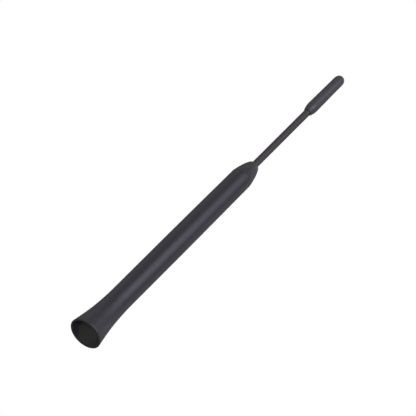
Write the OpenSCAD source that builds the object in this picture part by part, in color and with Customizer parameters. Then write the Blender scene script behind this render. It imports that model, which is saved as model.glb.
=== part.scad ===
// Screw-on flexible car mast aerial. Millimetres.
// The mast stands on Z, and the rim of its skirt lies in the plane z = 0.

/* [Overall] */
// Height of the mast, from the rim of the skirt to the tip
total_h = 230; // [210:1:300]

/* [Sheath outline] */
// Diameter of the skirt at its rim
rim_d = 17.9; // [16.8:0.1:20]
// Radius of the rim's outer edge
rim_edge_r = 0.3; // [0.2:0.05:0.4]
// Wall of the skirt at its rim
rim_wall = 1; // [0.9:0.05:1.5]
// Radius of the rim's inner edge
mouth_edge_r = 0.25; // [0.1:0.05:0.4]
// Height at which the skirt has narrowed to the body
skirt_h = 28.6; // [26:0.2:40]
// Reach of the curve that leaves the rim
skirt_low_reach = 10.7; // [6:0.1:12]
// Lean of that curve, in mm of radius for each mm of height
skirt_low_lean = 0.16; // [0.1:0.01:0.18]
// Reach of the curve that runs into the body
skirt_high_reach = 13.3; // [6:0.1:14]
// Lean of that curve
skirt_high_lean = 0.03; // [0:0.005:0.05]
// Diameter of the body
body_d = 12.3; // [11.6:0.1:14]
// Height at which the body starts to taper
taper_start = 71; // [40:1:100]
// How much thinner the body is at its shoulder
body_taper = 0.45; // [0:0.05:1.2]
// Height of the sheath
sheath_h = 147.9; // [140:0.1:160]
// Length of the rounded nose
nose_l = 12.6; // [9:0.1:18]
// Reach of the curve that leaves the shoulder
shoulder_reach = 2; // [1:0.1:4]
// Width of the blunt front of the nose
nose_reach = 2; // [1:0.1:2.4]

/* [Recess] */
// Depth of the recess in the skirt
recess_depth = 11; // [9:0.1:13]
// Diameter of the recess at its floor
recess_floor_d = 12.4; // [11.5:0.1:13]
// Fillet round the recess floor
recess_fillet_r = 0.8; // [0.3:0.1:1]

/* [Threaded socket] */
// Width of the hexagonal flange across its flats
hex_width = 9; // [8.8:0.1:9.6]
// Thickness of the hexagonal flange
hex_t = 1.8; // [1.2:0.1:3]
// Diameter of the socket's barrel
barrel_d = 8.6; // [8.5:0.05:8.7]
// Height of the barrel above the flange
barrel_h = 9.2; // [8.6:0.1:12]
// Width of the groove that the rubber grips
grip_groove_w = 1.6; // [1:0.1:2.4]
// Depth of that groove
grip_groove_depth = 0.5; // [0.2:0.05:0.8]
// Bore of the thread, at its crests
thread_bore_d = 4.2; // [4.1:0.05:5]
// Length of the threaded bore, without its countersink
thread_l = 8.5; // [6:0.1:9]
// Diameter of the countersink at the mouth
countersink_d = 5.3; // [5.1:0.1:6.5]

/* [Spring] */
// Diameter of the two spigots inside the spring
spigot_d = 5.7; // [5:0.05:5.75]
// Length of those spigots
spigot_l = 9; // [5:0.5:14]
// Diameter of the spring's wire
spring_wire_d = 1.2; // [0.9:0.05:1.25]
// Space between two turns of the spring
spring_turn_gap = 0.15; // [0.05:0.01:0.4]
// Length of the spring between its two shoulders
spring_l = 49; // [40:0.5:52]
// Clearance between spigot and spring, and between spring and liner
spring_clearance = 0.03; // [0.01:0.005:0.04]
// Wall of the liner
liner_wall = 0.4; // [0.2:0.05:0.5]
// How far the liner laps the barrel and the collar
liner_lap = 2; // [1:0.1:3]

/* [Ferrule] */
// Height of the collar between spring and cup
collar_h = 6; // [4:0.5:8]
// Diameter of the cup that holds the rod
cup_d = 7; // [5:0.1:7.6]
// Height of the cup
cup_h = 15; // [12:0.5:20]
// Depth to which the rod is seated in the cup
rod_seat = 13; // [8:0.5:16]
// Width of each crimp in the cup
crimp_w = 1.2; // [0.8:0.1:1.6]
// Depth of each crimp
crimp_depth = 0.4; // [0.1:0.05:0.6]

/* [Whip] */
// Diameter of the whip over its sleeve
whip_d = 3.8; // [3.75:0.05:4.1]
// Wall of the sleeve
sleeve_wall = 0.42; // [0.2:0.01:0.44]
// Diameter of the rod
rod_d = 2; // [1.6:0.05:2.05]
// Diameter of the winding's wire
wire_d = 0.36; // [0.25:0.01:0.38]
// Pitch of the winding
wire_pitch = 2.4; // [2.2:0.05:4]
// Clearance between the rod and the wire
wire_clearance = 0.01; // [0.005:0.005:0.02]
// Bare rod left at each end of the winding
wire_end_gap = 0.3; // [0.25:0.05:4]
// Height of the solder ring
solder_h = 2; // [1:0.1:3]
// Diameter of the solder ring at its foot
solder_d = 4.4; // [3.8:0.1:4.9]

/* [Tip cap] */
// Length of the cap
cap_l = 33; // [26:0.5:40]
// Diameter of the cap where it is thickest
cap_d = 6.18; // [5.6:0.02:7]
// Wall of the cap's mouth, round the whip
cap_mouth_wall = 0.28; // [0.15:0.01:0.6]
// Length over which the mouth widens to the full diameter
cap_flare_l = 5.5; // [3:0.1:8]
// How much thinner the cap is where its round end begins
cap_taper = 0.4; // [0:0.02:0.8]
// Height of the round end
cap_dome_h = 3.7; // [2:0.1:4]
// Solid thickness above the end of the rod
cap_roof = 9; // [5:0.5:12]

/* [Hidden] */

$fn = 96;

rubber_black = [0.17, 0.17, 0.19];
sleeve_black = [0.23, 0.21, 0.23];
brass = [0.78, 0.63, 0.32];
steel = [0.62, 0.63, 0.65];
liner_white = [0.86, 0.86, 0.82];
fibre_glass = [0.90, 0.88, 0.74];
copper = [0.72, 0.36, 0.20];
solder_grey = [0.70, 0.71, 0.73];

// Steps in each curved stretch of an outline
curve_steps = 14;
fillet_steps = 5;
// Each of the rim's two edges takes at most this share of its wall
edge_share = 0.45;

// Radii of what the sheath is moulded round
barrel_r = barrel_d / 2;
liner_r = barrel_r + liner_wall;
cup_r = cup_d / 2;
whip_r = whip_d / 2;
rod_r = rod_d / 2;
solder_r = solder_d / 2;
solder_top_r = rod_r + wire_d / 2;
hex_corner_r = hex_width / 2 / cos(30);

// Heights of the stack, from the recess floor upwards
hex_top = recess_depth + hex_t;
barrel_top = hex_top + barrel_h;
grip_groove_z = hex_top + (barrel_h - liner_lap - grip_groove_w) / 2;
countersink_h = (countersink_d - thread_bore_d) / 2;
thread_start = recess_depth + countersink_h;
thread_end = thread_start + thread_l;
drill_point_h = thread_bore_d / 2 * tan(30);
collar_z = barrel_top + spring_l;
cup_z = collar_z + collar_h;
cup_top = cup_z + cup_h;
solder_top = cup_top + solder_h;
cap_z = total_h - cap_l;
rod_z = cup_top - rod_seat;
rod_top = total_h - cap_roof;

// Spring: a chain of straight steps, so its corners stand out past its mean radius
spring_steps = 12;
spring_sides = 6;
spring_flat_r = (spigot_d + spring_wire_d) / 2 + spring_clearance;
spring_corner_r = spring_flat_r / cos(180 / spring_steps);
spring_pitch = spring_wire_d + spring_turn_gap;
spring_turns = floor((spring_l - spring_wire_d) / spring_pitch * spring_steps) / spring_steps;

// Winding: the same, on the rod
wire_steps = 10;
wire_sides = 6;
wire_flat_r = (rod_d + wire_d) / 2 + wire_clearance;
wire_corner_r = wire_flat_r / cos(180 / wire_steps);
wire_z = solder_top + wire_end_gap + wire_d / 2;
wire_run = rod_top - wire_end_gap - wire_d / 2 - wire_z;
wire_turns = floor(wire_run / wire_pitch * wire_steps) / wire_steps;

// Points of an arc in an outline, as [radius, height]
function arc(centre, r, from, to, steps) = [
    for (i = [0:steps])
        let (a = from + (to - from) * i / steps)
        centre + r * [cos(a), sin(a)]
];

// Points of a smooth curve from a to b, pulled towards the two handles
function curve(a, a_handle, b_handle, b, steps) = [
    for (i = [0:steps])
        let (u = i / steps, v = 1 - u)
        v * v * v * a + 3 * v * v * u * a_handle + 3 * v * u * u * b_handle + u * u * u * b
];

// Points of a rectangular groove in a wall of radius r, from height z up
function groove(r, z, width, depth) = [
    [r, z],
    [r - depth, z],
    [r - depth, z + width],
    [r, z + width]
];

// The socket's and the ferrule's outlines, shared with the rubber moulded round them
function grip_outline() = groove(barrel_r, grip_groove_z, grip_groove_w, grip_groove_depth);

function crimp_outline() = [
    for (i = [1:2])
        let (z = cup_z + i * cup_h / 3 - crimp_w / 2)
        each groove(cup_r, z, crimp_w, crimp_depth)
];

function sheath_outline() =
    let (
        rim_r = rim_d / 2,
        body_r = body_d / 2,
        shoulder_r = body_r - body_taper / 2,
        shoulder_z = sheath_h - nose_l,
        edge_r = min(rim_edge_r, rim_wall * edge_share)
    )
    concat(
        arc([rim_r - edge_r, edge_r], edge_r, -90, 0, fillet_steps),
        curve(
            [rim_r, edge_r],
            [rim_r - skirt_low_lean * skirt_low_reach, edge_r + skirt_low_reach],
            [body_r + skirt_high_lean * skirt_high_reach, skirt_h - skirt_high_reach],
            [body_r, skirt_h],
            curve_steps
        ),
        curve(
            [body_r, taper_start],
            [body_r, taper_start + (shoulder_z - taper_start) / 3],
            [shoulder_r + body_taper / 6, shoulder_z - (shoulder_z - taper_start) / 3],
            [shoulder_r, shoulder_z],
            fillet_steps
        ),
        curve(
            [shoulder_r, shoulder_z],
            [shoulder_r, shoulder_z + shoulder_reach],
            [whip_r + nose_reach, sheath_h],
            [whip_r, sheath_h],
            curve_steps
        )
    );

// Inside of the sheath, from the nose down to the recess floor
function cavity_outline() =
    let (down = concat(
        [[barrel_r, recess_depth]],
        grip_outline(),
        [[barrel_r, barrel_top - liner_lap], [liner_r, barrel_top - liner_lap]],
        [[liner_r, collar_z + liner_lap], [barrel_r, collar_z + liner_lap]],
        [[barrel_r, cup_z], [cup_r, cup_z]],
        crimp_outline(),
        [[cup_r, cup_top], [solder_r, cup_top]],
        [[solder_top_r, solder_top], [whip_r, solder_top]]
    ))
    [for (i = [len(down) - 1:-1:0]) down[i]];

// Recess, from its floor down to the rim, with a fillet at each end of its leaning wall
function recess_outline() =
    let (
        mouth_r = rim_d / 2 - rim_wall,
        lean = atan((mouth_r - recess_floor_d / 2) / recess_depth),
        floor_r = recess_fillet_r,
        edge_r = min(mouth_edge_r, rim_wall * edge_share)
    )
    concat(
        arc(
            [mouth_r - (recess_depth - floor_r) * tan(lean) - floor_r / cos(lean), recess_depth - floor_r],
            floor_r, 90, lean, fillet_steps
        ),
        arc(
            [mouth_r - edge_r * tan(lean) + edge_r / cos(lean), edge_r],
            edge_r, 180 + lean, 270, fillet_steps
        )
    );

// A round wire wound as a helix of straight steps
module helix(corner_r, wire_r, pitch, turns, steps, sides) {
    rings = round(turns * steps);
    points = [
        for (i = [0:rings])
            for (j = [0:sides - 1])
                let (a = 360 * i / steps, b = 360 * j / sides, r = corner_r + wire_r * cos(b))
                [r * cos(a), r * sin(a), pitch * i / steps + wire_r * sin(b)]
    ];
    first = [for (j = [0:sides - 1]) j];
    last = [for (j = [sides - 1:-1:0]) rings * sides + j];
    sides_of_rings = [
        for (i = [0:rings - 1])
            for (j = [0:sides - 1])
                let (k = (j + 1) % sides, low = i * sides, high = low + sides)
                each [[low + j, high + j, high + k], [low + j, high + k, low + k]]
    ];
    polyhedron(points = points, faces = concat([first], sides_of_rings, [last]), convexity = 10);
}

module hex_flange() {
    translate([0, 0, recess_depth])
        cylinder(r = hex_corner_r, h = hex_t, $fn = 6);
}

module rubber_sheath() {
    color(rubber_black)
        difference() {
            rotate_extrude()
                polygon(concat(sheath_outline(), cavity_outline(), recess_outline()));
            hex_flange();
        }
}

module thread_socket() {
    color(brass)
        difference() {
            union() {
                hex_flange();
                rotate_extrude()
                    polygon(concat(
                        [[0, recess_depth], [barrel_r, recess_depth]],
                        grip_outline(),
                        [[barrel_r, barrel_top], [spigot_d / 2, barrel_top]],
                        [[spigot_d / 2, barrel_top + spigot_l], [0, barrel_top + spigot_l]]
                    ));
            }
            rotate_extrude()
                polygon([
                    [0, recess_depth],
                    [countersink_d / 2, recess_depth],
                    [thread_bore_d / 2, thread_start],
                    [thread_bore_d / 2, thread_end],
                    [0, thread_end + drill_point_h]
                ]);
        }
}

module flex_spring() {
    color(steel)
        translate([0, 0, barrel_top + spring_wire_d / 2])
            helix(spring_corner_r, spring_wire_d / 2, spring_pitch, spring_turns,
                spring_steps, spring_sides);
}

module spring_liner() {
    color(liner_white)
        translate([0, 0, barrel_top - liner_lap])
            difference() {
                cylinder(r = liner_r, h = spring_l + 2 * liner_lap);
                translate([0, 0, -1])
                    cylinder(r = barrel_r, h = spring_l + 2 * liner_lap + 2);
            }
}

module whip_ferrule() {
    color(brass)
        rotate_extrude()
            polygon(concat(
                [[0, collar_z - spigot_l], [spigot_d / 2, collar_z - spigot_l]],
                [[spigot_d / 2, collar_z], [barrel_r, collar_z]],
                [[barrel_r, cup_z], [cup_r, cup_z]],
                crimp_outline(),
                [[cup_r, cup_top], [rod_r, cup_top], [rod_r, rod_z], [0, rod_z]]
            ));
}

module core_rod() {
    color(fibre_glass)
        translate([0, 0, rod_z])
            cylinder(r = rod_r, h = rod_top - rod_z);
}

module radiator_winding() {
    color(copper)
        translate([0, 0, wire_z])
            helix(wire_corner_r, wire_d / 2, wire_pitch, wire_turns, wire_steps, wire_sides);
}

module solder_joint() {
    color(solder_grey)
        rotate_extrude()
            polygon([
                [rod_r, cup_top],
                [solder_r, cup_top],
                [solder_top_r, solder_top],
                [rod_r, solder_top]
            ]);
}

module whip_sleeve() {
    color(sleeve_black)
        rotate_extrude()
            polygon([
                [whip_r - sleeve_wall, solder_top],
                [whip_r, solder_top],
                [whip_r, rod_top],
                [whip_r - sleeve_wall, rod_top]
            ]);
}

module tip_cap() {
    cap_r = cap_d / 2;
    mouth_r = whip_r + cap_mouth_wall;
    end_r = cap_r - cap_taper / 2;
    dome_z = total_h - cap_dome_h;
    color(sleeve_black)
        rotate_extrude()
            polygon(concat(
                [[whip_r, cap_z]],
                curve(
                    [mouth_r, cap_z],
                    [mouth_r + (cap_r - mouth_r) * 0.65, cap_z + cap_flare_l * 0.3],
                    [cap_r, cap_z + cap_flare_l * 0.6],
                    [cap_r, cap_z + cap_flare_l],
                    curve_steps
                ),
                [for (i = [0:curve_steps])
                    let (a = 90 * i / curve_steps)
                    [end_r * cos(a), dome_z + cap_dome_h * sin(a)]],
                [[0, rod_top], [whip_r, rod_top]]
            ));
}

rubber_sheath();
thread_socket();
flex_spring();
spring_liner();
whip_ferrule();
core_rod();
radiator_winding();
solder_joint();
whip_sleeve();
tip_cap();
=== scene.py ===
"""Looks of a screw-on car mast aerial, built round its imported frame. Lengths are in metres."""

import logging
import math
from collections.abc import Callable
from dataclasses import dataclass, field
from enum import Enum

import bmesh
import bpy
from mathutils import Matrix, Vector


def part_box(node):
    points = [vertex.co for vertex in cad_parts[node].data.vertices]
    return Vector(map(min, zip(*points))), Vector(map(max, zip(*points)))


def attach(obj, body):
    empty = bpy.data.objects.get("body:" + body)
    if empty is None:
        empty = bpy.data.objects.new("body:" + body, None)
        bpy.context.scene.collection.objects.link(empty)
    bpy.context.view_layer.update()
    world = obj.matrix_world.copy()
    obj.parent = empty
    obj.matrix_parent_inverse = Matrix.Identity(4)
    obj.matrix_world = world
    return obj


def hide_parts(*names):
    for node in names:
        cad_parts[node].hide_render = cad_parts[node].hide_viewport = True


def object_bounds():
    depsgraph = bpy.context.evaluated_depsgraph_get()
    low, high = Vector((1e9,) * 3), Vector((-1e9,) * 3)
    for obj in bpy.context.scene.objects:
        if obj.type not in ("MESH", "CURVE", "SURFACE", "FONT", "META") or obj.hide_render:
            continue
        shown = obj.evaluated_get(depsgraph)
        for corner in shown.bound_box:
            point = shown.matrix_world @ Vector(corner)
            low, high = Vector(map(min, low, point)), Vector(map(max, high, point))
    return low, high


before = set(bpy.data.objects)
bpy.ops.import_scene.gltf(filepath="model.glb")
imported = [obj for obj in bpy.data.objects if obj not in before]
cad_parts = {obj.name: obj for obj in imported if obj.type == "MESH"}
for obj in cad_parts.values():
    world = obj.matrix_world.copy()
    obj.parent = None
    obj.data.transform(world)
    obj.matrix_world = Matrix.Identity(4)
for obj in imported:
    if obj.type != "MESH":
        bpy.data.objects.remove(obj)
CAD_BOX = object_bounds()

log = logging.getLogger("mast")

Piece = bpy.types.Object
Point = tuple[float, float]
Colour = tuple[float, float, float]
Triple = tuple[float, float, float]
# The two ends of a range, and an input or output of a node
Span = tuple[float, float]
Pin = bpy.types.NodeSocket

MM = 0.001
BODY = "root"
SAME_PLACE = 0.001 * MM
# Half the angle that one side of a hexagon spans
HALF_SIDE = math.radians(30)


class Slot(Enum):
    """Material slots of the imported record."""

    BODY_RUBBER = "body_rubber"
    SLEEVE_PLASTIC = "sleeve_plastic"
    CAP_PLASTIC = "cap_plastic"
    SOCKET_BRASS = "socket_brass"
    FERRULE_BRASS = "ferrule_brass"
    SPRING_STEEL = "spring_steel"
    LINER_PLASTIC = "liner_plastic"
    GLASS_FIBRE = "glass_fibre"
    WINDING_COPPER = "winding_copper"
    SOLDER = "solder"


class Combination(Enum):
    """Ways to combine a piece with a second form."""

    ADDED = "UNION"
    CUT_OUT = "DIFFERENCE"
    OVERLAP = "INTERSECT"


class Sum(Enum):
    """Sums that give one value from two."""

    TOTAL = "ADD"
    LESSER = "MINIMUM"
    GREATER = "MAXIMUM"


class Ray(Enum):
    """Kinds of ray that see the plain white surroundings."""

    CAMERA = "Is Camera Ray"
    GLOSSY = "Is Glossy Ray"
    TRANSMISSION = "Is Transmission Ray"


def arc(centre: Point, radius: float, start: float, end: float, steps: int) -> list[Point]:
    """Points along an arc, between two angles in degrees from the outward direction."""
    turns = [math.radians(start + (end - start) * i / steps) for i in range(steps + 1)]
    return [(centre[0] + radius * math.cos(a), centre[1] + radius * math.sin(a)) for a in turns]


def curve(first: Point, pull: Point, last_pull: Point, last: Point, steps: int) -> list[Point]:
    """Points along a smooth curve of an outline.

    Args:
        first: Where it starts.
        pull: The handle that it leaves the start towards.
        last_pull: The handle that it comes to the end from.
        last: Where it ends.
        steps: How many straight steps it has.

    Returns:
        The points, as radius and height.
    """
    points = []
    for i in range(steps + 1):
        u = i / steps
        v = 1 - u
        shares = (v**3, 3 * v * v * u, 3 * v * u * u, u**3)
        ends = (first, pull, last_pull, last)
        points.append(tuple(sum(s * p[k] for s, p in zip(shares, ends)) for k in range(2)))
    return points


def groove(radius: float, height: float, width: float, depth: float) -> list[Point]:
    """Corners of a square groove in a round wall, from the bottom up."""
    floor = radius - depth
    return [(radius, height), (floor, height), (floor, height + width), (radius, height + width)]


def put_down_all() -> None:
    """Leaves edit mode and deselects every object."""
    if bpy.context.object and bpy.context.object.mode != "OBJECT":
        bpy.ops.object.mode_set(mode="OBJECT")
    bpy.ops.object.select_all(action="DESELECT")


def take_up(piece: Piece) -> None:
    """Makes one piece the selected and active one.

    Args:
        piece: The piece to work on.
    """
    put_down_all()
    piece.select_set(True)
    bpy.context.view_layer.objects.active = piece


def pick(piece: Piece, wanted: Callable[[Vector], bool]) -> None:
    """Selects the vertices of a piece in edit mode by their place, with what they span.

    Args:
        piece: The piece, in edit mode.
        wanted: Says of a vertex's place whether it is picked.
    """
    bpy.ops.mesh.select_all(action="DESELECT")
    mesh = bmesh.from_edit_mesh(piece.data)
    for vertex in mesh.verts:
        vertex.select = wanted(vertex.co)
    mesh.select_flush(True)
    bmesh.update_edit_mesh(piece.data)


def close_up(piece: Piece) -> None:
    """Merges the doubles of a piece in edit mode and points its faces outwards.

    Args:
        piece: The piece, in edit mode.
    """
    bpy.ops.mesh.select_all(action="SELECT")
    bpy.ops.mesh.remove_doubles(threshold=SAME_PLACE)
    bpy.ops.mesh.select_all(action="SELECT")
    bpy.ops.mesh.normals_make_consistent(inside=False)


def fix_new(name: str) -> Piece:
    """Names the primitive just added, and moves its place and turn into its mesh.

    Args:
        name: The name.

    Returns:
        The piece.
    """
    piece = bpy.context.object
    piece.name = name
    piece.data.name = name
    bpy.ops.object.transform_apply(location=True, rotation=True, scale=True)
    return piece


def draw_line(name: str, outline: list[Point]) -> Piece:
    """Draws an outline in the plane of X and Z, and leaves it in edit mode.

    One corner of a plane is kept, and extruded from point to point.

    Args:
        name: The piece's name.
        outline: The points, as radius and height.

    Returns:
        The piece, a chain of edges.
    """
    put_down_all()
    side = 2 * MM
    first_r, first_z = outline[0]
    corner = (first_r - side / 2, -side / 2, first_z)
    bpy.ops.mesh.primitive_plane_add(size=side, location=corner)
    piece = fix_new(name)
    bpy.ops.object.mode_set(mode="EDIT")
    pick(piece, lambda place: place.x < first_r - side / 2 or place.y < -side / 2)
    bpy.ops.mesh.delete(type="VERT")
    bpy.ops.mesh.select_all(action="SELECT")
    here = outline[0]
    for there in outline[1:]:
        step = (there[0] - here[0], 0, there[1] - here[1])
        bpy.ops.mesh.extrude_region_move(TRANSFORM_OT_translate={"value": step})
        here = there
    return piece


def turn(name: str, outline: list[Point], segments: int) -> Piece:
    """Turns an outline round Z into a closed shell, as on a lathe.

    Args:
        name: The piece's name.
        outline: The points, as radius and height. It starts and ends on the axis, or is a loop.
        segments: Facets round the axis.

    Returns:
        The piece, in object mode.
    """
    loops = outline[0][0] > 0
    piece = draw_line(name, outline + outline[:1] if loops else outline)
    bpy.ops.mesh.select_all(action="SELECT")
    bpy.ops.mesh.spin(steps=segments, angle=math.tau, center=(0, 0, 0), axis=(0, 0, 1))
    close_up(piece)
    bpy.ops.object.mode_set(mode="OBJECT")
    return piece


def add_modifier(piece: Piece, kind: str, **settings: object) -> None:
    """Adds a modifier to a piece and applies it.

    Args:
        piece: The piece.
        kind: The modifier's type, such as SCREW.
        **settings: Its properties.
    """
    take_up(piece)
    bpy.ops.object.modifier_add(type=kind)
    modifier = piece.modifiers[-1]
    for key, value in settings.items():
        setattr(modifier, key, value)
    bpy.ops.object.modifier_apply(modifier=modifier.name)


def combine(piece: Piece, tool: Piece, how: Combination) -> None:
    """Combines a piece with a second form, which is used up."""
    add_modifier(piece, "BOOLEAN", object=tool, operation=how.value, solver="EXACT")
    bpy.data.objects.remove(tool)


def hexagon_bar(corner_r: float, length: float, middle: float) -> Piece:
    """Makes a hexagonal bar along Z, with two of its corners on X.

    Args:
        corner_r: From the axis to a corner.
        length: Its length.
        middle: Height of its middle.

    Returns:
        The bar.
    """
    put_down_all()
    bpy.ops.mesh.primitive_cylinder_add(
        vertices=6, radius=corner_r, depth=length, location=(0, 0, middle),
        rotation=(0, 0, HALF_SIDE),
    )
    return fix_new("hexagon_bar")


def trim(piece: Piece, low: float, high: float) -> None:
    """Merges the doubles of an open skin and cuts it off level at both ends.

    Args:
        piece: The skin.
        low: Height of the lower cut.
        high: Height of the upper cut.
    """
    take_up(piece)
    bpy.ops.object.mode_set(mode="EDIT")
    close_up(piece)
    for height, above in ((low, False), (high, True)):
        bpy.ops.mesh.select_all(action="SELECT")
        bpy.ops.mesh.bisect(
            plane_co=(0, 0, height), plane_no=(0, 0, 1), clear_inner=not above, clear_outer=above,
        )
    bpy.ops.object.mode_set(mode="OBJECT")


def line_with_bore(piece: Piece, share: float) -> None:
    """Turns an open skin round Z into a tube, with level end faces and a bore.

    Args:
        piece: The skin, open at both ends.
        share: The bore's radius as a share of the skin's.
    """
    take_up(piece)
    bpy.ops.object.mode_set(mode="EDIT")
    bpy.ops.mesh.select_all(action="DESELECT")
    bpy.ops.mesh.select_non_manifold()
    bpy.ops.mesh.extrude_edges_move()
    bpy.ops.transform.resize(
        value=(share, share, 1), center_override=(0, 0, 0), orient_type="GLOBAL",
    )
    bpy.ops.mesh.bridge_edge_loops()
    close_up(piece)
    bpy.ops.object.mode_set(mode="OBJECT")


def smooth(piece: Piece, edge_angle: float = 32) -> None:
    """Shades a piece smooth, apart from edges sharper than an angle in degrees."""
    take_up(piece)
    bpy.ops.object.shade_smooth_by_angle(angle=math.radians(edge_angle))


def wind(piece: Piece, pitch: float, turns: float, steps: int) -> None:
    """Sweeps a closed section up a right-hand helix round Z, and closes both ends.

    Args:
        piece: The section, a loop of edges.
        pitch: Rise of one turn.
        turns: How many turns, whole or not.
        steps: Facets in one turn.
    """
    count = round(steps * turns)
    add_modifier(
        piece, "SCREW", axis="Z", angle=math.tau * turns, screw_offset=pitch * turns,
        steps=count, render_steps=count, iterations=1, use_normal_calculate=True,
    )
    bpy.ops.object.mode_set(mode="EDIT")
    bpy.ops.mesh.select_all(action="DESELECT")
    bpy.ops.mesh.select_non_manifold()
    bpy.ops.mesh.edge_face_add()
    close_up(piece)
    bpy.ops.object.mode_set(mode="OBJECT")


def coil(name: str, radius: float, wire: float, pitch: float, turns: float, low: float,
         steps: int, sides: int) -> Piece:
    """Winds a round wire into a right-hand coil round Z.

    Args:
        name: The piece's name.
        radius: From the axis to the middle of the wire.
        wire: Radius of the wire.
        pitch: Rise of one turn.
        turns: How many turns, whole or not.
        low: Height of the middle of the wire at its lower end.
        steps: Facets in one turn.
        sides: Facets round the wire.

    Returns:
        The piece, in object mode.
    """
    put_down_all()
    bpy.ops.mesh.primitive_circle_add(
        vertices=sides, radius=wire, fill_type="NOTHING",
        location=(radius, 0, low), rotation=(math.pi / 2, 0, 0),
    )
    piece = fix_new(name)
    wind(piece, pitch, turns, steps)
    smooth(piece, edge_angle=50)
    return piece


class NodeBench:
    """Adds and joins the nodes of one material or world."""

    def __init__(self, tree: bpy.types.NodeTree) -> None:
        """Clears the node tree and starts on it."""
        self.tree = tree
        tree.nodes.clear()

    def add(self, kind: str, **inputs: object) -> bpy.types.Node:
        """Adds a node.

        Args:
            kind: The node's type without its ShaderNode prefix.
            **inputs: Its inputs, with spaces as underscores: values, or outputs to join.

        Returns:
            The node.
        """
        node = self.tree.nodes.new("ShaderNode" + kind)
        for key, value in inputs.items():
            end = node.inputs[key.replace("_", " ")]
            if isinstance(value, Pin):
                self.join(value, end)
            else:
                end.default_value = value
        return node

    def join(self, start: Pin, end: Pin) -> None:
        """Links an output to an input."""
        self.tree.links.new(start, end)

    def place(self, stretch: Triple = (1, 1, 1)) -> Pin:
        """Adds the piece's own coordinates, stretched to make patterns finer along X, Y and Z."""
        where = self.add("TexCoord").outputs["Object"]
        return self.add("Mapping", Vector=where, Scale=stretch).outputs["Vector"]

    def noise(self, vector: Pin, per_metre: float, detail: float, share: float = 0.5) -> Pin:
        """Adds a noise pattern from 0 to 1, where each finer layer is a share as strong."""
        node = self.add("TexNoise", Vector=vector, Scale=per_metre, Detail=detail, Roughness=share)
        return node.outputs["Fac"]

    def spread(self, value: Pin, low: float, high: float, ends: Span = (0.3, 0.7)) -> Pin:
        """Spreads a pattern over a range of values.

        Args:
            value: The pattern.
            low: What its lower end becomes.
            high: What its upper end becomes.
            ends: The pattern's values at those ends.

        Returns:
            The new values.
        """
        node = self.add(
            "MapRange", Value=value, From_Min=ends[0], From_Max=ends[1], To_Min=low, To_Max=high,
        )
        return node.outputs["Result"]

    def reckon(self, how: Sum, first: Pin, second: Pin) -> Pin:
        """Works out one value from two.

        Args:
            how: The sum.
            first: One value.
            second: The other.

        Returns:
            The new value.
        """
        node = self.add("Math")
        node.operation = how.value
        self.join(first, node.inputs[0])
        self.join(second, node.inputs[1])
        return node.outputs["Value"]

    def blend(self, value: Pin, low: Colour, high: Colour) -> Pin:
        """Blends two colours by a pattern.

        Args:
            value: The pattern, from 0 to 1.
            low: The colour at 0.
            high: The colour at 1.

        Returns:
            The colour.
        """
        node = self.add("ValToRGB", Fac=value)
        node.color_ramp.elements[0].color = (*low, 1)
        node.color_ramp.elements[1].color = (*high, 1)
        return node.outputs["Color"]

    def scaled(self, colour: Pin, factor: Pin) -> Pin:
        """Multiplies a colour by a value.

        Args:
            colour: The colour.
            factor: The value.

        Returns:
            The new colour.
        """
        node = self.add("VectorMath")
        node.operation = "SCALE"
        self.join(colour, node.inputs[0])
        self.join(factor, node.inputs["Scale"])
        return node.outputs["Vector"]

    def bump(self, height: Pin, depth: float) -> Pin:
        """Raises a pattern from the surface and returns the new normal."""
        return self.add("Bump", Strength=1.0, Distance=depth, Height=height).outputs["Normal"]

    def mix(self, share: Pin, first: Pin, second: Pin) -> Pin:
        """Mixes two shaders.

        Args:
            share: The share of the second one.
            first: One shader.
            second: The other.

        Returns:
            The mixed shader.
        """
        node = self.add("MixShader", Fac=share)
        self.join(first, node.inputs[1])
        self.join(second, node.inputs[2])
        return node.outputs["Shader"]


@dataclass(frozen=True)
class Finish:
    """A named material. Each kind of finish builds its own surface."""

    name: str

    def material(self) -> bpy.types.Material:
        """Makes the material.

        Returns:
            The material.
        """
        made = bpy.data.materials.new(self.name)
        made.use_nodes = True
        bench = NodeBench(made.node_tree)
        bench.add("OutputMaterial", Surface=self.surface(bench))
        return made

    def surface(self, bench: NodeBench) -> Pin:
        """Builds the nodes of the surface and returns its shader."""
        raise NotImplementedError


@dataclass(frozen=True)
class MouldedFinish(Finish):
    """Matt moulded rubber or plastic: mottled colour, uneven sheen and a fine skin grain."""

    dark: Colour
    light: Colour
    roughness: Span
    gloss_level: float
    gloss_tint: Colour = (1, 1, 1)
    grain: float = 0.22 * MM
    grain_depth: float = 0.004 * MM
    cloud: float = 6 * MM
    patches_per_cloud: float = 2.3
    flow: float = 0.35
    edge_dullness: float = 0.5
    edge_span: Span = (0.3, 0.8)

    def surface(self, bench: NodeBench) -> Pin:
        """Builds the mottled colour, a sheen that is duller towards the edges, and the grain.

        Args:
            bench: Where the nodes go.

        Returns:
            The shader.
        """
        along = bench.place((1, 1, self.flow))
        clouds = bench.noise(along, 1 / self.cloud, detail=3)
        patches = bench.noise(along, self.patches_per_cloud / self.cloud, detail=4)
        facing = bench.add("LayerWeight", Blend=0.5).outputs["Facing"]
        duller = bench.spread(facing, 0, self.edge_dullness, self.edge_span)
        skin = bench.noise(bench.place(), 1 / self.grain, detail=2)
        shader = bench.add(
            "BsdfPrincipled",
            Base_Color=bench.blend(bench.spread(clouds, 0, 1), self.dark, self.light),
            Roughness=bench.reckon(Sum.TOTAL, bench.spread(patches, *self.roughness), duller),
            Specular_IOR_Level=self.gloss_level,
            Specular_Tint=(*self.gloss_tint, 1),
            Normal=bench.bump(skin, self.grain_depth),
        )
        return shader.outputs["BSDF"]


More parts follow.
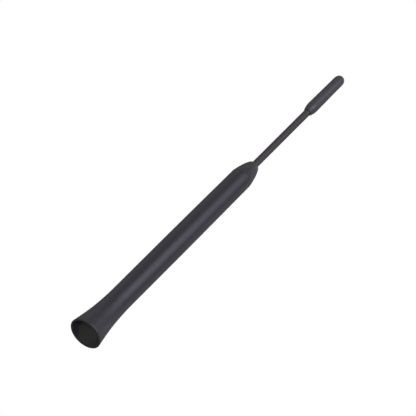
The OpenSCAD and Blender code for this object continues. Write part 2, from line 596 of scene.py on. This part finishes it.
@dataclass(frozen=True)
class RecessFinish(Finish):
    """Dull rubber under a chalky film, rubbed off on one side and round the mouth.

    The painted shade is wider near the mouth, a band of the same dark colour runs round the mouth,
    and painted light makes the colour paler deep inside.
    """

    # The first colour is painted shade on the recess's -X side, and it also fills the band round
    # the mouth.
    painted_shade: Colour
    # The second colour is painted light: the recess is coloured far paler than the body rubber to
    # stand in for light.
    painted_light: Colour
    roughness: float = 0.85
    # X span over which the painted shade fades out, the slant that widens it near the mouth, and
    # the heights of the dark band round the mouth.
    painted_shade_side: Span = (-5.1 * MM, -4.1 * MM)
    mouth: Span = (0.3 * MM, 1.0 * MM)
    corner: Span = (-1.3 * MM, 0.2 * MM)
    wobble: float = 0.4 * MM
    wave: float = 2 * MM
    # Painted light: the colour grows paler by up to this gain between these depths, deeper in the
    # recess's shade.
    painted_light_depths: Span = (3 * MM, 10 * MM)
    painted_light_depth_gain: float = 1.35
    grain: float = 0.3 * MM
    grain_depth: float = 0.006 * MM

    def surface(self, bench: NodeBench) -> Pin:
        """Builds the painted light, the painted shade and dark band in it, and the grain.

        Args:
            bench: Where the nodes go.

        Returns:
            The shader.
        """
        place = bench.place()
        sides = bench.add("SeparateXYZ", Vector=place)
        height = sides.outputs["Z"]
        shift = bench.spread(bench.noise(place, 1 / self.wave, detail=3), -self.wobble, self.wobble)
        across = bench.reckon(Sum.TOTAL, sides.outputs["X"], shift)
        slanted = bench.reckon(Sum.TOTAL, across, height)
        # Painted shade on the -X side, wider near the mouth, and a dark band round the mouth.
        painted_light = bench.spread(across, 0, 1, self.painted_shade_side)
        painted_light = bench.reckon(Sum.LESSER, painted_light, bench.spread(slanted, 0, 1, self.corner))
        painted_light = bench.reckon(Sum.LESSER, painted_light, bench.spread(height, 0, 1, self.mouth))
        # Painted light, paler deeper in the recess.
        painted_light_gain = bench.spread(height, 1, self.painted_light_depth_gain, self.painted_light_depths)
        skin = bench.noise(place, 1 / self.grain, detail=3)
        shader = bench.add(
            "BsdfPrincipled",
            Base_Color=bench.scaled(bench.blend(painted_light, self.painted_shade, self.painted_light), painted_light_gain),
            Roughness=self.roughness,
            Specular_IOR_Level=0.0,
            Normal=bench.bump(skin, self.grain_depth),
        )
        return shader.outputs["BSDF"]


@dataclass(frozen=True)
class MetalFinish(Finish):
    """Bare metal with fine marks round it, and a thin uneven tarnish."""

    bright: Colour
    tarnished: Colour
    roughness: Span
    stain: float = 3 * MM
    marks: float = 0.12 * MM
    marks_depth: float = 0.002 * MM
    marks_run: Triple = (0.04, 0.04, 1)

    def surface(self, bench: NodeBench) -> Pin:
        """Builds the tarnish and the marks.

        Args:
            bench: Where the nodes go.

        Returns:
            The shader.
        """
        stains = bench.noise(bench.place(), 1 / self.stain, detail=5, share=0.6)
        lines = bench.noise(bench.place(self.marks_run), 1 / self.marks, detail=3)
        shader = bench.add(
            "BsdfPrincipled",
            Base_Color=bench.blend(bench.spread(stains, 0, 1), self.bright, self.tarnished),
            Metallic=1.0,
            Roughness=bench.spread(lines, *self.roughness),
            Normal=bench.bump(lines, self.marks_depth),
        )
        return shader.outputs["BSDF"]


@dataclass(frozen=True)
class FibreFinish(Finish):
    """Resin-bound glass fibre, with its strands along Z."""

    resin: Colour
    strand: Colour
    roughness: Span = (0.5, 0.3)
    strand_width: float = 0.05 * MM
    strand_depth: float = 0.003 * MM
    strand_run: Triple = (1, 1, 0.01)

    def surface(self, bench: NodeBench) -> Pin:
        """Builds the strands.

        Args:
            bench: Where the nodes go.

        Returns:
            The shader.
        """
        strands = bench.noise(bench.place(self.strand_run), 1 / self.strand_width, detail=3)
        shader = bench.add(
            "BsdfPrincipled",
            Base_Color=bench.blend(bench.spread(strands, 0, 1), self.resin, self.strand),
            Roughness=bench.spread(strands, *self.roughness),
            Normal=bench.bump(strands, self.strand_depth),
        )
        return shader.outputs["BSDF"]


@dataclass(frozen=True)
class FloorFinish(Finish):
    """Pale floor that fades to plain white away from the object, and is clear from below."""

    name: str = "studio_floor"
    paper: Colour = (0.86, 0.86, 0.86)
    fade: Span = (0.1, 0.5)

    def surface(self, bench: NodeBench) -> Pin:
        """Builds the paper, the white that it fades to, and the clear underside.

        Args:
            bench: Where the nodes go.

        Returns:
            The shader.
        """
        paper = bench.add("BsdfDiffuse", Color=(*self.paper, 1)).outputs["BSDF"]
        white = bench.add("Emission", Strength=1.0).outputs["Emission"]
        clear = bench.add("BsdfTransparent").outputs["BSDF"]
        length = bench.add("VectorMath", Vector=bench.place())
        length.operation = "LENGTH"
        away = bench.spread(length.outputs["Value"], 0, 1, self.fade)
        seen_from_below = bench.add("NewGeometry").outputs["Backfacing"]
        return bench.mix(seen_from_below, bench.mix(away, paper, white), clear)


class Finishes:
    """Every finish of the mast, by material slot."""

    def __init__(self) -> None:
        """Makes the materials."""
        # The recess rubber is coloured paler than the body to stand in for light, with painted
        # shade on one side.
        self.recess = RecessFinish(
            "recess_rubber_painted_light_shade", painted_shade=(0.047, 0.046, 0.053), painted_light=(0.070, 0.0705, 0.0685),
        ).material()
        self.rim = MouldedFinish(
            "trimmed_rim_rubber", dark=(0.060, 0.059, 0.068), light=(0.071, 0.070, 0.080),
            roughness=(0.8, 0.9), gloss_level=0.0, cloud=4 * MM, flow=1.0,
        ).material()
        finishes = {
            Slot.BODY_RUBBER: MouldedFinish(
                "matt_body_rubber", dark=(0.0090, 0.0082, 0.0114), light=(0.0122, 0.0112, 0.0150),
                roughness=(0.33, 0.41), gloss_level=0.28, gloss_tint=(0.85, 0.83, 1.0),
                grain=0.9 * MM, grain_depth=0.02 * MM,
            ),
            Slot.SLEEVE_PLASTIC: MouldedFinish(
                "shrunk_sleeve", dark=(0.026, 0.0207, 0.0256), light=(0.0325, 0.0265, 0.0326),
                roughness=(0.5, 0.6), gloss_level=0.24, gloss_tint=(0.92, 0.85, 1.0), cloud=3 * MM,
            ),
            Slot.CAP_PLASTIC: MouldedFinish(
                "moulded_cap", dark=(0.0222, 0.0211, 0.0255), light=(0.0285, 0.0274, 0.034),
                roughness=(0.40, 0.48), gloss_level=0.31, gloss_tint=(0.85, 0.83, 1.0),
                cloud=3 * MM,
            ),
            Slot.SOCKET_BRASS: MetalFinish(
                "turned_brass", bright=(0.66, 0.47, 0.20), tarnished=(0.45, 0.29, 0.12),
                roughness=(0.22, 0.42),
            ),
            Slot.FERRULE_BRASS: MetalFinish(
                "crimped_brass", bright=(0.62, 0.44, 0.19), tarnished=(0.42, 0.28, 0.12),
                roughness=(0.3, 0.5),
            ),
            Slot.SPRING_STEEL: MetalFinish(
                "drawn_spring_steel", bright=(0.46, 0.46, 0.47), tarnished=(0.30, 0.29, 0.28),
                roughness=(0.25, 0.45),
            ),
            Slot.LINER_PLASTIC: MouldedFinish(
                "natural_polyamide", dark=(0.66, 0.65, 0.58), light=(0.74, 0.73, 0.68),
                roughness=(0.35, 0.5), gloss_level=0.5,
            ),
            Slot.GLASS_FIBRE: FibreFinish(
                "glass_fibre_rod", resin=(0.62, 0.57, 0.33), strand=(0.80, 0.78, 0.60),
            ),
            Slot.WINDING_COPPER: MetalFinish(
                "enamelled_copper", bright=(0.62, 0.24, 0.10), tarnished=(0.42, 0.13, 0.05),
                roughness=(0.12, 0.3),
            ),
            Slot.SOLDER: MetalFinish(
                "set_solder", bright=(0.60, 0.60, 0.61), tarnished=(0.42, 0.42, 0.43),
                roughness=(0.3, 0.55),
            ),
        }
        self.by_slot = {slot: finish.material() for slot, finish in finishes.items()}

    def dress(self, piece: Piece, slot: Slot) -> None:
        """Gives a piece or CAD node one finish, in place of any that it has."""
        piece.data.materials.clear()
        piece.data.materials.append(self.by_slot[slot])


@dataclass(frozen=True)
class SocketFit:
    """Sizes of the brass insert that the pieces round it share."""

    hex_height: float = 1.8 * MM
    spigot_r: float = 2.85 * MM
    groove_start: float = 15.6 * MM
    groove_width: float = 1.6 * MM
    groove_depth: float = 0.5 * MM

    def grip_groove(self, radius: float) -> list[Point]:
        """Corners of the groove in the barrel that the rubber grips, from the bottom up."""
        return groove(radius, self.groove_start, self.groove_width, self.groove_depth)


@dataclass
class Sub:
    """A sub-assembly, which dresses its pieces and puts them in the CAD nodes' places."""

    finishes: Finishes
    fit: SocketFit = SocketFit()

    def seat(self, piece: Piece, node: str, slot: Slot) -> None:
        """Dresses a finished piece and puts it in the place of its CAD node.

        Args:
            piece: The finished piece.
            node: The CAD node that it stands for.
            slot: Its finish.
        """
        self.finishes.dress(piece, slot)
        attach(piece, BODY)
        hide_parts(node)
        log.info("%s: %d faces, for node %s", piece.name, len(piece.data.polygons), node)

    def keep(self, node: str, slot: Slot) -> None:
        """Keeps a CAD node as it is, in a better finish.

        Args:
            node: The CAD node.
            slot: Its finish.
        """
        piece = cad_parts[node]
        self.finishes.dress(piece, slot)
        log.info("%s: CAD node kept, %d faces", node, len(piece.data.polygons))


@dataclass
class Sheath(Sub):
    """The rubber moulding: flared skirt with its recess, body and rounded nose."""

    rim_edge: float = 0.3 * MM
    rim_wall: float = 1 * MM
    mouth_edge: float = 0.25 * MM
    skirt_top: float = 28.6 * MM
    skirt_low_reach: float = 10.7 * MM
    skirt_low_lean: float = 0.16
    skirt_high_reach: float = 13.3 * MM
    skirt_high_lean: float = 0.03
    body_r: float = 6.15 * MM
    taper_start: float = 71 * MM
    taper: float = 0.225 * MM
    nose_length: float = 12.6 * MM
    shoulder_reach: float = 2 * MM
    nose_reach: float = 2 * MM
    recess_floor_r: float = 6.2 * MM
    recess_fillet: float = 0.8 * MM
    cup_r: float = 3.5 * MM
    cup_start: float = 4 * MM
    crimp_width: float = 1.2 * MM
    crimp_depth: float = 0.4 * MM
    solder_top_r: float = 1.18 * MM
    seam_rise: float = 0.03 * MM
    seam_start: float = 1.5 * MM
    seam_reach: float = 0.05 * MM
    seam_stop: float = 4.2 * MM
    seam_core: float = 3 * MM
    skin_depth: float = 0.02 * MM
    downward: float = -0.7
    segments: int = 128
    edge_steps: int = 6
    fillet_steps: int = 8
    skirt_steps: int = 28
    taper_steps: int = 12
    nose_steps: int = 28

    def outside(self) -> list[Point]:
        """Works out the outside of the moulding's section.

        Returns:
            The points, from the rim's flat up to the nose.
        """
        low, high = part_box("rubber_sheath")
        whip_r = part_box("whip_sleeve")[1].x
        rim_r = high.x
        shoulder_z = high.z - self.nose_length
        shoulder_r = self.body_r - self.taper
        third = (shoulder_z - self.taper_start) / 3
        edge = self.rim_edge
        return [
            *arc((rim_r - edge, low.z + edge), edge, -90, 0, self.edge_steps)[:-1],
            *curve(
                (rim_r, edge),
                (rim_r - self.skirt_low_lean * self.skirt_low_reach, edge + self.skirt_low_reach),
                (
                    self.body_r + self.skirt_high_lean * self.skirt_high_reach,
                    self.skirt_top - self.skirt_high_reach,
                ),
                (self.body_r, self.skirt_top),
                self.skirt_steps,
            ),
            *curve(
                (self.body_r, self.taper_start),
                (self.body_r, self.taper_start + third),
                (shoulder_r + self.taper / 3, shoulder_z - third),
                (shoulder_r, shoulder_z),
                self.taper_steps,
            )[:-1],
            *curve(
                (shoulder_r, shoulder_z),
                (shoulder_r, shoulder_z + self.shoulder_reach),
                (whip_r + self.nose_reach, high.z),
                (whip_r, high.z),
                self.nose_steps,
            ),
        ]

    def cavity(self) -> list[Point]:
        """Works out the inside round the socket, liner, ferrule and sleeve.

        Returns:
            The points, from the nose down to the recess's floor.
        """
        barrel_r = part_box("whip_ferrule")[1].x
        liner_low, liner_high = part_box("spring_liner")
        solder_low, solder_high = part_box("solder_joint")
        whip_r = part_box("whip_sleeve")[1].x
        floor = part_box("thread_socket")[0].z
        cup_z = liner_high.z + self.cup_start
        cup_h = solder_low.z - cup_z
        cup_r, width, depth = self.cup_r, self.crimp_width, self.crimp_depth
        crimps = [cup_z + i * cup_h / 3 - width / 2 for i in (1, 2)]
        rising = [
            (barrel_r, floor),
            *self.fit.grip_groove(barrel_r),
            (barrel_r, liner_low.z),
            (liner_high.x, liner_low.z),
            (liner_high.x, liner_high.z),
            (barrel_r, liner_high.z),
            (barrel_r, cup_z),
            (cup_r, cup_z),
            *[corner for z in crimps for corner in groove(cup_r, z, width, depth)],
            (cup_r, solder_low.z),
            (solder_high.x, solder_low.z),
            (self.solder_top_r, solder_high.z),
            (whip_r, solder_high.z),
        ]
        return rising[::-1]

    def recess(self) -> list[Point]:
        """Works out the recess in the skirt.

        Returns:
            The points, from its floor down to the rim.
        """
        mouth_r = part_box("rubber_sheath")[1].x - self.rim_wall
        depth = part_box("thread_socket")[0].z
        lean = math.atan((mouth_r - self.recess_floor_r) / depth)
        fillet, edge = self.recess_fillet, self.mouth_edge
        floor_centre = (
            mouth_r - (depth - fillet) * math.tan(lean) - fillet / math.cos(lean),
            depth - fillet,
        )
        edge_centre = (mouth_r - edge * math.tan(lean) + edge / math.cos(lean), edge)
        lean_deg = math.degrees(lean)
        return [
            *arc(floor_centre, fillet, 90, lean_deg, self.fillet_steps),
            *arc(edge_centre, edge, 180 + lean_deg, 270, self.edge_steps),
        ]

    def raise_seam(self, piece: Piece) -> None:
        """Raises the mould's parting line, one row of vertices on each side, by a hair.

        Args:
            piece: The moulding.
        """
        take_up(piece)
        bpy.ops.object.mode_set(mode="EDIT")
        outline = self.outside()
        core_r = self.body_r - self.taper - self.seam_core
        low, high = self.seam_start, piece.dimensions.z - self.seam_stop
        for side in (-1, 1):
            pick(piece, lambda place: abs(place.y) < self.seam_reach and place.x * side > core_r
                 and low < place.z < high and self.is_skin(place, outline))
            bpy.ops.transform.translate(value=(side * self.seam_rise, 0, 0))
        bpy.ops.object.mode_set(mode="OBJECT")

    def is_skin(self, place: Vector, outline: list[Point]) -> bool:
        """Says whether a vertex lies on the outside of the moulding.

        Args:
            place: The vertex's place.
            outline: The points of the outside.

        Returns:
            True on the outside.
        """
        r = math.hypot(place.x, place.y)
        return any(abs(place.z - z) < self.skin_depth and abs(r - out) < self.skin_depth
                   for out, z in outline)

    def dull_mouth(self, piece: Piece) -> None:
        """Gives the recess its material of painted light and painted shade, and the trimmed rim its
        dull finish.

        Args:
            piece: The dressed moulding.
        """
        recess_slot, rim_slot = 1, 2
        piece.data.materials.append(self.finishes.recess)
        piece.data.materials.append(self.finishes.rim)
        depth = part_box("thread_socket")[0].z
        for face in piece.data.polygons:
            centre = face.center
            if centre.z < self.rim_edge:
                face.material_index = rim_slot
            elif centre.z < depth + SAME_PLACE and self.faces_in(face):
                face.material_index = recess_slot

    def faces_in(self, face: bpy.types.MeshPolygon) -> bool:
        """Says whether a face looks towards the axis or down, as the recess's faces do."""
        outwards = Vector((face.center.x, face.center.y, 0))
        return face.normal.dot(outwards) < 0 or face.normal.z < self.downward

    def build(self) -> None:
        """Models the moulding, cuts the hexagonal pocket and seats it."""
        section = self.outside() + self.cavity() + self.recess()
        piece = turn("sheath_moulding", section, self.segments)
        self.raise_seam(piece)
        low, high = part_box("thread_socket")
        pocket = hexagon_bar(high.x, 2 * self.fit.hex_height, low.z)
        combine(piece, pocket, Combination.CUT_OUT)
        smooth(piece)
        self.seat(piece, "rubber_sheath", Slot.BODY_RUBBER)
        self.dull_mouth(piece)


@dataclass
class Socket(Sub):
    """The brass insert: hexagonal flange, barrel, spigot and an M5 threaded hole."""

    hex_across: float = 9 * MM
    hex_chamfer: float = 0.35 * MM
    bar_length: float = 60 * MM
    bar_middle: float = 20 * MM
    barrel_r: float = 4.3 * MM
    barrel_top: float = 22 * MM
    spigot_edge: float = 0.3 * MM
    countersink_r: float = 2.65 * MM
    drill_slope_deg: float = 30
    crest_r: float = 2.1 * MM
    root_r: float = 2.5 * MM
    thread_length: float = 8.5 * MM
    thread_pitch: float = 0.8 * MM
    crest_width: float = 0.12 * MM
    root_width: float = 0.68 * MM
    bite: float = 0.02 * MM
    spare_turns: int = 2
    spare_room: float = 1 * MM
    turn_steps: int = 40
    segments: int = 96

    def outline(self) -> list[Point]:
        """Works out half of the turned form's section.

        Returns:
            The points, from the top of the spigot round to the drill's point.
        """
        low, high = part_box("thread_socket")
        corner_r = high.x
        start = low.z + self.countersink_r - self.crest_r
        end = start + self.thread_length
        mouth = low.z + self.countersink_r - self.root_r
        spigot_r = self.fit.spigot_r
        return [
            (0, high.z),
            (spigot_r - self.spigot_edge, high.z),
            (spigot_r, high.z - self.spigot_edge),
            (spigot_r, self.barrel_top),
            (self.barrel_r, self.barrel_top),
            *self.fit.grip_groove(self.barrel_r)[::-1],
            (self.barrel_r, low.z + self.fit.hex_height),
            (corner_r, low.z + self.fit.hex_height),
            (corner_r, low.z + self.hex_chamfer),
            (corner_r - self.hex_chamfer * 2, low.z),
            (self.countersink_r, low.z),
            (self.root_r, mouth),
            (self.root_r, end),
            (0, end + self.crest_r * math.tan(math.radians(self.drill_slope_deg))),
        ]

    def thread(self) -> Piece:
        """Winds the ridge of the thread and cuts its ends to the hole and its countersink.

        Returns:
            The ridge.
        """
        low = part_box("thread_socket")[0].z + self.countersink_r - self.crest_r
        wall = self.root_r + self.bite
        start = low - self.thread_pitch
        ridge = [
            (wall, start - self.root_width / 2),
            (self.crest_r, start - self.crest_width / 2),
            (self.crest_r, start + self.crest_width / 2),
            (wall, start + self.root_width / 2),
        ]
        piece = draw_line("thread", ridge + ridge[:1])
        bpy.ops.mesh.select_all(action="SELECT")
        bpy.ops.mesh.remove_doubles(threshold=SAME_PLACE)
        bpy.ops.object.mode_set(mode="OBJECT")
        turns = self.thread_length / self.thread_pitch + self.spare_turns
        wind(piece, self.thread_pitch, turns, self.turn_steps)
        outer = wall + self.spare_room
        room = turn("thread_room", [
            (0, low),
            (self.crest_r, low),
            (outer, low + self.crest_r - outer),
            (outer, low + self.thread_length),
            (0, low + self.thread_length),
        ], self.segments)
        combine(piece, room, Combination.OVERLAP)
        return piece

    def build(self) -> None:
        """Models the insert as it is made: turned, then milled to a hexagon, then tapped."""
        piece = turn("socket_insert", self.outline(), self.segments)
        corner_r = self.hex_across / 2 / math.cos(HALF_SIDE)
        bar = hexagon_bar(corner_r, self.bar_length, self.bar_middle)
        combine(piece, bar, Combination.OVERLAP)
        combine(piece, self.thread(), Combination.ADDED)
        smooth(piece, edge_angle=20)
        self.seat(piece, "thread_socket", Slot.SOCKET_BRASS)


@dataclass
class FlexCore(Sub):
    """What lets the mast bend and carries the whip: spring, liner, ferrule and solder."""

    wire_r: float = 0.6 * MM
    turn_gap: float = 0.02 * MM
    clearance: float = 0.03 * MM
    liner_lap: float = 2 * MM
    turn_steps: int = 32
    wire_sides: int = 12

    def build(self) -> None:
        """Winds the spring, and dresses the nodes that stay as they are."""
        low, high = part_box("spring_liner")
        pitch = 2 * self.wire_r + self.turn_gap
        length = high.z - low.z - 2 * self.liner_lap - 2 * self.wire_r
        spring = coil(
            "flex_coil", self.fit.spigot_r + self.wire_r + self.clearance, self.wire_r, pitch,
            length / pitch, low.z + self.liner_lap + self.wire_r, self.turn_steps, self.wire_sides,
        )
        self.seat(spring, "flex_spring", Slot.SPRING_STEEL)
        self.keep("spring_liner", Slot.LINER_PLASTIC)
        self.keep("whip_ferrule", Slot.FERRULE_BRASS)
        self.keep("solder_joint", Slot.SOLDER)


@dataclass
class Whip(Sub):
    """The whip: rod, winding and the sleeve shrunk over them, with a faint rib at each turn."""

    wire_r: float = 0.18 * MM
    wire_gap: float = 0.01 * MM
    wire_sides: int = 8
    turn_steps: int = 28
    pitch: float = 2.4 * MM
    rib_rise: float = 0.03 * MM
    rib_width: float = 0.9 * MM
    rib_steps: int = 6
    sleeve_wall: float = 0.42 * MM
    spare_turns: int = 2
    segments: int = 40

    def ribbed_line(self, radius: float, low: float) -> list[Point]:
        """Works out one pitch of the sleeve's outside.

        Args:
            radius: Radius at the crest of a rib.
            low: Height at which the pitch starts.

        Returns:
            The points, from the bottom up.
        """
        start = low + (self.pitch - self.rib_width) / 2
        rib = []
        for i in range(self.rib_steps + 1):
            share = i / self.rib_steps
            rise = (1 - math.cos(math.tau * share)) / 2
            rib.append((radius - self.rib_rise * (1 - rise), start + self.rib_width * share))
        flat = radius - self.rib_rise
        return [(flat, low), *rib, (flat, low + self.pitch)]

    def sleeve(self) -> Piece:
        """Models the sleeve as one rib wound up the whip, trimmed and given its bore.

        Returns:
            The sleeve.
        """
        low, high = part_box("whip_sleeve")
        turns = math.ceil((high.z - low.z) / self.pitch) + self.spare_turns
        start = low.z - self.pitch
        piece = draw_line("sleeve_tube", self.ribbed_line(high.x, start))
        bpy.ops.object.mode_set(mode="OBJECT")
        add_modifier(
            piece, "SCREW", axis="Z", angle=math.tau, screw_offset=self.pitch,
            steps=self.segments, render_steps=self.segments, iterations=turns,
            use_normal_calculate=True, use_merge_vertices=True, merge_threshold=SAME_PLACE,
        )
        trim(piece, low.z, high.z)
        line_with_bore(piece, 1 - self.sleeve_wall / high.x)
        smooth(piece)
        return piece

    def build(self) -> None:
        """Winds the wire, models the sleeve and dresses the rod."""
        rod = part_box("core_rod")[1]
        low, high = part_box("radiator_winding")
        rise = high.z - low.z - 2 * self.wire_r
        winding = coil(
            "winding_wire", rod.x + self.wire_r + self.wire_gap, self.wire_r, self.pitch,
            rise / self.pitch, low.z + self.wire_r, self.turn_steps, self.wire_sides,
        )
        self.seat(winding, "radiator_winding", Slot.WINDING_COPPER)
        self.keep("core_rod", Slot.GLASS_FIBRE)
        self.seat(self.sleeve(), "whip_sleeve", Slot.SLEEVE_PLASTIC)


@dataclass
class TipCap(Sub):
    """The moulded cap on the end of the whip. Its flare's handles are shares of its size."""

    mouth_wall: float = 0.28 * MM
    mouth_edge: float = 0.1 * MM
    flare_length: float = 5.5 * MM
    low_handle: Point = (0.65, 0.3)
    high_handle: float = 0.6
    taper: float = 0.2 * MM
    dome_height: float = 3.7 * MM
    flare_steps: int = 24
    dome_steps: int = 18
    segments: int = 96

    def outline(self) -> list[Point]:
        """Works out half of the cap's section.

        Returns:
            The points, from the blind hole's end down to the mouth and up the outside to the tip.
        """
        low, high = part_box("tip_cap")
        whip_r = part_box("whip_sleeve")[1].x
        rod_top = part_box("core_rod")[1].z
        mouth_r = whip_r + self.mouth_wall
        end_r = high.x - self.taper
        dome_z = high.z - self.dome_height
        angles = [math.radians(90 * i / self.dome_steps) for i in range(self.dome_steps)]
        dome = [
            (end_r * math.cos(a), dome_z + self.dome_height * math.sin(a)) for a in angles
        ]
        out, up = self.low_handle
        flare = curve(
            (mouth_r, low.z),
            (mouth_r + (high.x - mouth_r) * out, low.z + self.flare_length * up),
            (high.x, low.z + self.flare_length * self.high_handle),
            (high.x, low.z + self.flare_length),
            self.flare_steps,
        )
        return [
            (0, rod_top),
            (whip_r, rod_top),
            (whip_r, low.z + self.mouth_edge),
            (whip_r + self.mouth_edge, low.z),
            *flare,
            *dome,
            (0, high.z),
        ]

    def build(self) -> None:
        """Models the cap and seats it."""
        piece = turn("cap_moulding", self.outline(), self.segments)
        smooth(piece)
        self.seat(piece, "tip_cap", Slot.CAP_PLASTIC)


@dataclass
class Softbox:
    """A soft lamp that faces the mast."""

    name: str
    toward: Triple
    distance: float
    width: float
    height: float
    radiance: float

    def build(self, target: Vector) -> None:
        """Puts up the lamp.

        Args:
            target: The point that it faces.
        """
        lamp = bpy.data.lights.new(self.name, "AREA")
        lamp.shape = "RECTANGLE"
        lamp.size, lamp.size_y = self.width, self.height
        lamp.energy = self.radiance * math.pi * self.width * self.height
        stand = bpy.data.objects.new(self.name, lamp)
        bpy.context.scene.collection.objects.link(stand)
        direction = Vector(self.toward).normalized()
        stand.location = target + direction * self.distance
        stand.rotation_euler = direction.to_track_quat("Z", "Y").to_euler()
        log.info("%s: lamp at %.2f m", self.name, self.distance)


@dataclass
class Studio:
    """White surroundings, soft lamps and a pale floor under the skirt."""

    ambient: float = 0.25
    floor_side: float = 8.0
    floor_gap: float = 0.02 * MM
    lamps: list[Softbox] = field(default_factory=lambda: [
        Softbox("key_softbox", toward=(0.17, -0.82, 0.34), distance=2.5, width=2.4, height=1.0,
                radiance=7.8),
        Softbox("low_softbox", toward=(-0.16, -0.72, -0.68), distance=1.5, width=0.6, height=0.6,
                radiance=4.4),
        Softbox("top_softbox", toward=(0.56, 0.38, 0.74), distance=1.8, width=0.8, height=0.8,
                radiance=0.6),
        Softbox("tip_softbox", toward=(0.15, 0.25, 0.95), distance=1.8, width=1.0, height=1.0,
                radiance=3.0),
        Softbox("rear_softbox", toward=(0.3, 0.88, 0.36), distance=2.5, width=1.6, height=1.4,
                radiance=2.2),
    ])

    def world(self) -> None:
        """Makes white surroundings, dimmer for the light that they give than for the eye."""
        surroundings = bpy.data.worlds.new("studio_world")
        bpy.context.scene.world = surroundings
        surroundings.use_nodes = True
        bench = NodeBench(surroundings.node_tree)
        white, soft = (
            bench.add("Background", Color=(1, 1, 1, 1), Strength=strength).outputs["Background"]
            for strength in (1.0, self.ambient)
        )
        rays = bench.add("LightPath").outputs
        seen = rays[Ray.CAMERA.value]
        for ray in (Ray.GLOSSY, Ray.TRANSMISSION):
            seen = bench.reckon(Sum.GREATER, seen, rays[ray.value])
        bench.add("OutputWorld", Surface=bench.mix(seen, soft, white))

    def floor(self) -> None:
        """Lays the floor. It takes shadows, and keeps no light from the recess above it."""
        put_down_all()
        under = CAD_BOX[0].z - self.floor_gap
        bpy.ops.mesh.primitive_plane_add(size=self.floor_side, location=(0, 0, under))
        sheet = fix_new("studio_floor")
        sheet.data.materials.append(FloorFinish().material())
        sheet.visible_shadow = False
        sheet.visible_diffuse = False
        sheet.visible_glossy = False
        sheet.visible_transmission = False

    def build(self) -> None:
        """Sets up the whole studio."""
        self.world()
        self.floor()
        target = Vector((0, 0, (CAD_BOX[0].z + CAD_BOX[1].z) / 2))
        for lamp in self.lamps:
            lamp.build(target)


@dataclass
class PhotoCamera:
    """The photograph's view: from in front and below, with the mast rising to the upper right."""

    distance: float = 2.0
    lean_deg: float = 36.9
    picture_angle_deg: float = 44.9
    aim_height: float = 106.7 * MM
    pixels_per_metre: float = 1979.0
    picture_side: float = 416.0
    aim_pixel: Point = (208.82, 210.66)
    sensor: float = 36.0
    clip: Span = (0.01, 50)

    def build(self) -> None:
        """Makes the camera and sets it."""
        lean = math.radians(self.lean_deg)
        roll = math.radians(self.picture_angle_deg)
        ahead = Vector((0, math.cos(lean), math.sin(lean)))
        mast_in_picture = Vector((0, -math.sin(lean), math.cos(lean)))
        across = Vector((1, 0, 0))
        right = mast_in_picture * math.cos(roll) + across * math.sin(roll)
        up = mast_in_picture * math.sin(roll) - across * math.cos(roll)
        half = self.picture_side / 2
        off_right = (self.aim_pixel[0] - half) / self.pixels_per_metre
        off_down = (self.aim_pixel[1] - half) / self.pixels_per_metre
        aim = Vector((0, 0, self.aim_height)) - right * off_right + up * off_down
        lens = bpy.data.cameras.new("photo_camera")
        lens.sensor_width = self.sensor
        lens.lens = self.distance * self.pixels_per_metre / self.picture_side * self.sensor
        lens.clip_start, lens.clip_end = self.clip
        body = bpy.data.objects.new("photo_camera", lens)
        bpy.context.scene.collection.objects.link(body)
        turned = Matrix((right, up, -ahead)).transposed().to_4x4()
        turned.translation = aim - ahead * self.distance
        body.matrix_world = turned
        bpy.context.scene.camera = body
        log.info("camera: %.0f mm lens at %.1f m", lens.lens, self.distance)


def main() -> None:
    """Builds the camera, the studio and the mast."""
    logging.basicConfig(level=logging.INFO, format="%(name)s: %(message)s")
    bpy.context.scene.view_settings.view_transform = "Standard"
    PhotoCamera().build()
    Studio().build()
    finishes = Finishes()
    for assembly in (Sheath, Socket, FlexCore, Whip, TipCap):
        assembly(finishes).build()
        log.info("%s built", assembly.__name__)
    put_down_all()


if __name__ == "__main__":
    main()
